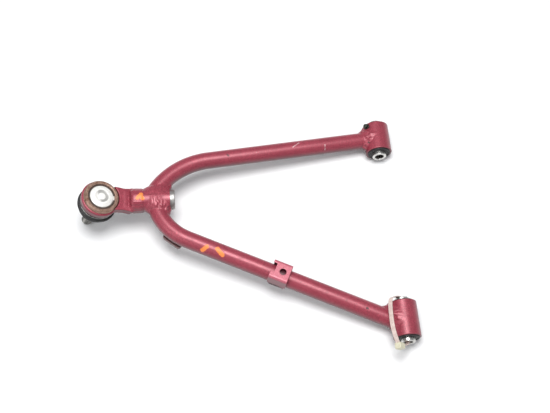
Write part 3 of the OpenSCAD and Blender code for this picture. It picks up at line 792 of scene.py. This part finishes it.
for where, origin_m, half, steel in (("front", front_m, front_half, FRONT_SLEEVE_STEEL),
                                     ("rear", rear_m, rear_half, REAR_SLEEVE_STEEL)):
    pivot = pivot_frame(origin_m)
    lathe(f"{where}_housing", housing_profile(half), pivot, "arm", RED,
          [f"{where}_pivot_housing"], columns=128)
    for end, side in (("front", 1), ("rear", -1)):
        lathe(f"{where}_{end}_bush", bush_profile(side, half), pivot, "arm", BUSH,
              [f"{where}_housing_{end}_bush"])
    lathe(f"{where}_sleeve_tube", sleeve_profile(half + SLEEVE_OUT), pivot, f"{where}_sleeve",
          steel, [f"{where}_pivot_sleeve"])

# In a pivot's frame X is inboard and Y is down, so these turn from inboard
nipple("front_nipple", 12.7, -136, front_m, "front_grease_nipple")
nipple("rear_nipple", 0, 38, rear_m, "rear_grease_nipple")


# ---------------------------------------------------------------- stem plug

PLUG_L = PLUG_IN + PLUG_OUT
plug = soften([(0, 0), (STEM_BORE_R, 0, 0.5), (STEM_BORE_R, PLUG_L, 1.3), (8.2, PLUG_L, 0.5),
               (7.6, PLUG_L - 0.5, 0.4), (0, PLUG_L - 0.5)], loop=False)
lathe("stem_plug", plug, stem_frame(STEM_IN + PLUG_IN), "arm", PLUG_ZINC, ["stem_end_plug"],
      loop=False)


# ---------------------------------------------------------------- bracket and tab

def bracket_field(p):
    """A saddle of bent sheet. Here Y points away from the bend."""
    x, y, z = p.T
    inner = LEG_R + 0.05

    def arch(half, top, radius):
        return rounded(np.stack([np.abs(y) - half + radius, z - top + radius], -1), radius)

    sheet = np.maximum(arch(inner + BRACKET_T, BRACKET_H, 3.2), -arch(inner, BRACKET_H - BRACKET_T, 1.6))
    sides = box_field(np.stack([x, 0 * y, z], -1), (0, 0, 13), (BRACKET_L / 2, 9, 13 + BRACKET_DROP), 3.2)
    notch = box_field(np.stack([x, y, 0 * z], -1), (BRACKET_L / 2 + 1, NOTCH_Y, 0), (5.2, 5, 9), 1.0)
    hole = np.hypot(x - HOLE_X, y) - HOLE_R
    top = 11.2 - z
    sheet = soft_cut(soft_cut(sheet, np.maximum(notch, top), 0.4), np.maximum(hole, top), 0.4)
    return soft_overlap(sheet, sides, 0.5)


carved("hose_bracket_sheet", bracket_field, (-11.5, -12.4, -5.2), (11.5, 12.4, 15), 0.34, BRACKET, "arm",
       BRACKET_LIT_RED, ["hose_bracket"])


def bracket_bead(name, side, covers):
    """The weld along the foot of one of the bracket's sides."""
    def field(p):
        x, y, z = p[:, 0], side * p[:, 1], p[:, 2]
        leg = np.hypot(y, z) - LEG_R
        foot = box_field(np.stack([x, y, z], -1), (0, LEG_R + 0.05 + BRACKET_T / 2, 0),
                         (BRACKET_L / 2, BRACKET_T / 2, BRACKET_DROP), 0.3)
        wave = 0.35 * np.sin(2.9 * x) + 0.2 * np.sin(1.3 * x + side)
        roll = np.hypot(y - LEG_R - 0.35, z + BRACKET_DROP + 0.25) - 1.5 - 0.25 * wave
        roll = np.maximum(roll, np.abs(x) - 8.2)
        limit = np.maximum(np.abs(x) - 9, roll - 1.6)
        return np.maximum(soft_union(roll, soft_union(leg, foot, 1.0) + 0.35, 1.2), limit)

    low_y, high_y = sorted((side * (LEG_R - 3), side * (LEG_R + 4)))
    carved(name, field, (-10, low_y, -7.5), (10, high_y, -0.5), 0.3, BRACKET, "arm", TAB_BROWN_SHADED,
           covers)


bracket_bead("bracket_bead_near", 1, ["hose_bracket_weld"])
bracket_bead("bracket_bead_far", -1, [])

TAB_TURN, TAB_L, TAB_W, TAB_T, TAB_SEAT, TAB_SHIFT, TAB_CORNER = 14, 23, 13, 3, 1.5, 3.2, 3
TAB_MID = (TAB_SEAT - TAB_T) / 2 - LEG_R
bend_start, start_way = leg_line(REAR_LEG, REAR_LEG.straight)
start_turn = math.atan2(start_way[1], start_way[0])
bend_centre = bend_start + REAR_LEG.bend_r * np.array([start_way[1], -start_way[0], 0])
TAB = (ARM @ Matrix.Translation(bend_centre) @ Matrix.Rotation(start_turn - math.radians(TAB_TURN), 4, "Z")
       @ Matrix.Translation((0, REAR_LEG.bend_r + TAB_SHIFT, TAB_MID)))


def tab_field(p):
    x, y, z = p.T
    plate = box_field(np.stack([x, y, 0 * z], -1), (0, 0, 0), (TAB_L / 2, TAB_W / 2, 9), TAB_CORNER)
    plate = soft_overlap(plate, np.abs(z) - (TAB_T + TAB_SEAT) / 2, 0.6)
    bend_r = REAR_LEG.bend_r
    leg = np.hypot(np.hypot(x, y + bend_r + TAB_SHIFT) - bend_r, z + TAB_MID) - LEG_R
    return np.maximum(plate, -0.05 - leg)


carved("line_tab", tab_field, (-12.5, -7.5, -3), (12.5, 7.5, 3), 0.4, TAB, "arm", TAB_BROWN_SHADED,
       ["lower_line_tab"])


# ---------------------------------------------------------------- ball joint

def polished(points, steps=6):
    """A smooth curve through (r, z) points."""
    pts = np.array([points[0], *points, points[-1]], float)
    out = []
    for i in range(1, len(pts) - 2):
        for k in range(steps):
            t = k / steps
            a, b, c, d = pts[i - 1:i + 3]
            out.append(tuple(0.5 * (2 * b + (c - a) * t + (2 * a - 5 * b + 4 * c - d) * t * t
                                    + (3 * b - a - 3 * c + d) * t ** 3)))
    out.append(tuple(pts[-1]))
    return out


# Profiles are (r, z, corner radius)
body_profile = soften([
    (12.3, -14.6, 0.4), (16.5, -14.6, 0.8), (16.5, RING_BOTTOM, 0.2), (BODY_R, RING_BOTTOM, 0.2),
    (BODY_R, RING_TOP, 0), (FLANGE_R, RING_TOP, 0.4), (FLANGE_R, 7.0, 0.9), (18.2, FLANGE_TOP, 0.5),
    (16.4, FLANGE_TOP, 0.3), (16.0, FLANGE_TOP - 0.25, 0.2), (15.1, FLANGE_TOP - 0.25, 0.3), (15.1, 6.5, 0.1),
    (14.45, 6.5, 0.1), (14.45, CAP_SEAT, 0.1), (13.1, CAP_SEAT, 0.3), (13.1, -7, 0.5)])
lathe("joint_body", body_profile, HEAD, "arm", BODY_STEEL, ["ball_joint_body"],
      columns=144)

cap_profile = soften([
    (0, CAP_SEAT + 0.05), (CAP_R, CAP_SEAT + 0.05, 0.2), (CAP_R, 6.45, 0.25), (13.05, 6.5, 0.5),
    (12.6, 8.0, 1.4), (9.0, 9.25, 3.0), (7.4, 9.4, 0.9), (6.6, 8.75, 0.7), (4.6, 8.5, 1.5), (2.2, 8.75, 1.0),
    (0, 8.8)], loop=False)
lathe("joint_cap", cap_profile, HEAD, "arm", CAP_STEEL, ["ball_joint_cap"], columns=144,
      loop=False)

SNAP_R, SNAP_HALF_W, SNAP_Z, SNAP_HALF_T, SNAP_GAP = 14.1, 0.95, 7.05, 0.5, math.radians(12)
LUG_AT, LUG_R, LUG_HOLE_AT, LUG_HOLE_R, LUG_TURN = 12.9, 1.5, 12.8, 0.65, SNAP_GAP + 0.085


def snap_field(p):
    """An open ring with a lug and a plier hole at each end."""
    x, y, z = p.T
    across = np.hypot(x, y)

    def from_lug(side, r):
        return np.hypot(x - r * math.cos(side * LUG_TURN), y - r * math.sin(side * LUG_TURN))

    ring = np.abs(across - SNAP_R) - SNAP_HALF_W
    for side in (1, -1):
        ring = soft_union(ring, from_lug(side, LUG_AT) - LUG_R, 0.6)
    ring = np.maximum(ring, (SNAP_GAP - np.abs(np.arctan2(y, x))) * across)
    for side in (1, -1):
        ring = np.maximum(ring, LUG_HOLE_R - from_lug(side, LUG_HOLE_AT))
    return soft_overlap(ring, np.abs(z - SNAP_Z) - SNAP_HALF_T, 0.15)


carved("snap_ring", snap_field, (-16, -16, 6.2), (16, 16, 7.9), 0.2, HEAD, "arm",
       SNAP_STEEL, ["cap_snap_ring"])

# The ball ends where the neck starts, at this angle from its top
BALL_R, BALL_END, THREAD_R, THREAD_LOW_R, PITCH = 10.9, math.radians(146), 6.0, 5.35, 1.25
thread_mid = (HEAD.inverted() @ Vector(mounts["stud_thread"]["pos_m"])).z
thread_half = mounts["stud_thread"]["dims"]["length_mm"] / 2
pin_z = (HEAD.inverted() @ Vector(mounts["split_pin_hole"]["pos_m"])).z
THREAD_TOP, STUD_END = thread_mid + thread_half + 0.6, thread_mid - thread_half - 1

ball = [(BALL_R * math.sin(a), -BALL_DEPTH + BALL_R * math.cos(a)) for a in np.linspace(0, BALL_END, 40)]
stud = ball + soften([ball[-1], (6.0, -18.6, 0.6), (6.0, -20, 2.0), (7.6, -26, 0.8), (7.6, -28, 0.6),
                      (6.6, THREAD_TOP + 0.05, 0)], loop=False)[1:]
stud += [(6.0, THREAD_TOP - 0.5), (5.5, THREAD_TOP - 0.9)]
stud += [(THREAD_R, z) for z in np.arange(THREAD_TOP - 1.0, STUD_END + 0.9, -0.14)]
stud += [(5.7, STUD_END + 0.7), (5.1, STUD_END + 0.12), (4.9, STUD_END), (1.2, STUD_END),
         (0.9, STUD_END + 0.5), (0, STUD_END + 0.8)]


def thread(angles, r, z):
    """Radii of a cut thread, which runs out at both ends."""
    if z > THREAD_TOP - 0.95 or z < STUD_END + 0.85:
        return np.full(len(angles), r)
    phase = (z / PITCH - angles / (2 * math.pi)) % 1.0
    tooth = np.clip(1.15 - np.abs(phase - 0.5) * 2.3, 0, 1)
    fade = min(1.0, (THREAD_TOP - 0.9 - z) / 1.5, (z - STUD_END - 0.6) / 0.9)
    return THREAD_LOW_R + (THREAD_R - THREAD_LOW_R) * (1 - fade * (1 - tooth)) - 0.15 * (1 - fade)


stud_piece = lathe("stud", stud, HEAD, "stud", STUD_STEEL, ["ball_stud"], loop=False,
                   shape=thread)
stud_piece.modifiers.clear()
pin = lathe("pin_cutter", [(0, -9), (1.6, -9), (1.6, 9), (0, 9)],
            HEAD @ Matrix.Translation((0, 0, pin_z)) @ Matrix.Rotation(math.pi / 2, 4, "X"), "stud",
            STUD_STEEL, columns=32, loop=False)
cut = stud_piece.modifiers.new("pin_hole", "BOOLEAN")
cut.operation, cut.solver, cut.object = "DIFFERENCE", "EXACT", pin
bpy.context.view_layer.update()
bored = bpy.data.meshes.new_from_object(stud_piece.evaluated_get(bpy.context.evaluated_depsgraph_get()))
stud_piece.modifiers.clear()
stud_piece.data = bored
bpy.data.objects.remove(pin)


# ---------------------------------------------------------------- boot

# Each piece of the boot is a curve down its outside and one back up its inside. They meet at the fold.
FOLD_Z = -19.2
upper_out = [(17.6, -7.0), (19.0, -7.1), (19.2, -8.2), (18.45, -8.7), (18.4, -9.9), (19.6, -10.3),
             (21.0, -11.0), (21.5, -12.3), (21.1, -14.0), (19.6, -15.6), (18.1, -17.2), (18.5, -18.3),
             (18.9, FOLD_Z)]
upper_in = [(17.1, FOLD_Z), (16.7, -18.2), (16.4, -17.0), (17.6, -15.4), (19.2, -14.0), (19.8, -12.7),
            (18.9, -11.6), (16.6, -11.1), (16.52, -9.0), (16.52, -7.2), (17.0, -7.0)]
lower_out = [(18.9, FOLD_Z), (18.5, -20.4), (17.2, -21.9), (14.6, -23.4), (12.2, -24.6), (11.2, -25.6),
             (11.1, -26.1), (10.2, -26.3), (9.5, -26.6), (9.5, -28.2), (10.2, -28.5), (10.95, -28.7),
             (10.9, -29.3), (10.2, -29.4)]
lower_in = [(8.4, -29.4), (7.95, -29.1), (7.95, -28.0), (8.0, -26.4), (9.2, -24.9), (10.8, -23.6),
            (13.6, -22.2), (15.8, -21.0), (16.9, -20.2), (17.1, FOLD_Z)]


def ribbed(angles, r, z):
    """Rubber that isn't quite round."""
    return r * (1 + 0.004 * np.sin(3 * angles + 0.15 * z) + 0.003 * np.sin(7 * angles - 0.2 * z))


def boot_piece(name, outside, inside, stands_for):
    verts, faces = turned(polished(outside) + polished(inside), 120, True, ribbed)
    piece = face_outward(make(name, verts, faces, HEAD, None, RUBBER, stands_for, sharp=60))
    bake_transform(piece)


boot_piece("boot_upper", upper_out, upper_in, ["dust_boot"])
boot_piece("boot_lower", lower_out, lower_in, [])


def wire(name, radius, z, turns, wire_r, body, node):
    """A wound clamp ring, whose turns lie side by side."""
    n, around = int(110 * turns), 10
    verts = []
    for i in range(n):
        a = 2 * math.pi * turns * i / (n - 1)
        height = z + (i / (n - 1) - 0.5) * wire_r * 2 * (turns - 1)
        for k in range(around):
            b = 2 * math.pi * k / around
            size = wire_r * (0.25 if i in (0, n - 1) else 1)
            r = radius + size * math.cos(b)
            verts.append((r * math.cos(a), r * math.sin(a), height + size * math.sin(b)))
    faces = [(i * around + k, i * around + (k + 1) % around, (i + 1) * around + (k + 1) % around,
              (i + 1) * around + k) for i in range(n - 1) for k in range(around)]
    faces += [tuple(range(around))[::-1], tuple(range((n - 1) * around, n * around))]
    face_outward(make(name, verts, faces, HEAD, body, WIRE_STEEL, [node], sharp=60))


wire("boot_upper_clamp", 18.95, -9.3, 2.1, 0.42, "arm", "boot_upper_ring")
wire("boot_lower_clamp", 10.25, -27.4, 2.1, 0.42, "boot_end", "boot_lower_ring")


# ---------------------------------------------------------------- cable tie

TIE_TURN, TOOTH, TOOTH_PITCH = 48, 0.13, 1.1
TIE = frame_at(rear_m, (1, 0, 0), UP) @ Matrix.Rotation(math.radians(TIE_TURN), 4, "Y")
tie_line = [(-19.0, -30.4), (-20.2, -27.6), (-22.0, -23.6), (-24.4, -16), (-25.4, -7), (-25.0, 3),
            (-23.9, 12), (-22.4, 17.6), (-20.4, 20.6), (-16.6, 22.7), (-11.5, 24.4), (-7, 25.2), (-3, 25.1),
            (-0.9, 24.0), (-0.4, 21.5), (-0.2, 12), (-0.1, 0), (-0.3, -12), (-0.8, -21), (-1.4, -24.6),
            (-3.2, -26.9), (-6.6, -28.4), (-11.5, -29.8), (-15.0, -30.4), (-17.6, -30.5)]


def strap(name):
    """A flat toothed strap swept along a smooth line in the tie's frame, 4.8 mm wide."""
    path = np.array(polished(tie_line, 24))
    way = np.gradient(path, axis=0)
    way /= np.linalg.norm(way, axis=1)[:, None]
    out = np.stack([-way[:, 1], way[:, 0]], -1)
    length = np.concatenate([[0], np.cumsum(np.linalg.norm(np.diff(path, axis=0), axis=1))])
    section = [(-0.5, -2.2), (-0.38, -2.4), (0.38, -2.4), (0.5, -2.2), (0.5, 2.2), (0.38, 2.4),
               (-0.38, 2.4), (-0.5, 2.2)]
    verts, ring = [], len(section)
    for i, (x, y) in enumerate(path):
        tooth = TOOTH * ((length[i] / TOOTH_PITCH) % 1.0)
        for t, w in section:
            t = t + (tooth if t > 0.45 else 0)
            verts.append((x + out[i, 0] * t, y + out[i, 1] * t, w))
    n = len(path)
    faces = [(i * ring + k, i * ring + (k + 1) % ring, (i + 1) * ring + (k + 1) % ring, (i + 1) * ring + k)
             for i in range(n - 1) for k in range(ring)]
    faces += [tuple(range(ring))[::-1], tuple(range((n - 1) * ring, n * ring))]
    face_outward(make(name, verts, faces, TIE, "arm", NYLON, ["cable_tie"], sharp=30))


def lock_field(p):
    """The lock: a rounded box with a slot for the strap."""
    x, y, z = p.T
    body = box_field(p, (-17.2, -31.0, 0), (4.4, 3.2, 3.7), 0.8)
    slot = box_field(p, (-12.4, -30.2, 0), (1.4, 0.9, 2.5), 0.2)
    return soft_cut(body, slot, 0.3)


strap("tie_strap")
carved("tie_lock", lock_field, (-22.2, -35, -4.4), (-12.2, -27.2, 4.4), 0.26, TIE, "arm", LOCK_NYLON)


# ---------------------------------------------------------------- stage, lights, camera

low, high = cad_box
middle = (low + high) / 2


def floor():
    mesh = bpy.data.meshes.new("floor")
    half = 4.0
    corners = [(x * half, y * half, low.z) for x, y in ((-1, -1), (1, -1), (1, 1), (-1, 1))]
    mesh.from_pydata(corners, [], [(0, 1, 2, 3)])
    plane = add("floor", mesh)
    p = Paint("floor_card", Specular_IOR_Level=0.2)
    p.set("Base Color", p.mix(p.noise(0.01, 3), colour(250, 250, 250), colour(246, 246, 247)))
    p.set("Roughness", p.span(p.noise(0.3, 3), 0.3, 0.7, 0.75, 0.9))
    mesh.materials.append(p.material)


def softbox(name, place, aim, size, power):
    light = bpy.data.lights.new(name, "AREA")
    light.shape, light.size, light.energy = "DISK", size, power
    lamp = add(name, light)
    lamp.location = place
    lamp.rotation_mode = "QUATERNION"
    lamp.rotation_quaternion = (Vector(aim) - Vector(place)).to_track_quat("-Z", "Y")


floor()
softbox("overhead", middle + Vector((0.02, 0.05, 1.15)), middle, 0.6, 11.8)
softbox("fill", middle + Vector((-0.9, -0.5, 0.9)), middle, 0.9, 3.4)

world = bpy.data.worlds.new("studio")
bpy.context.scene.world = world
world.use_nodes = True
sky = world.node_tree.nodes["Background"]
sky.inputs["Color"].default_value = (0.96, 0.98, 1.0, 1)
sky.inputs["Strength"].default_value = 0.45
bpy.context.scene.view_settings.view_transform = "Standard"

# SPREAD is the width that the camera sees for each unit of distance
CAMERA_AT, SENSOR_MM, SPREAD = Vector((-0.1617, -0.4952, 0.8758)), 36, 550 / 857.5
back = Vector((-0.0361, -0.4313, 0.9014)).normalized()
right = Vector((0.9965, -0.0835, 0)).normalized()
lens = bpy.data.cameras.new("camera")
lens.sensor_width, lens.lens = SENSOR_MM, SENSOR_MM / SPREAD
lens.clip_start, lens.clip_end = 0.01, 20
camera = add("camera", lens)
turn = Matrix((right, back.cross(right), back)).transposed().to_4x4()
camera.matrix_world = Matrix.Translation(CAMERA_AT) @ turn
bpy.context.scene.camera = camera
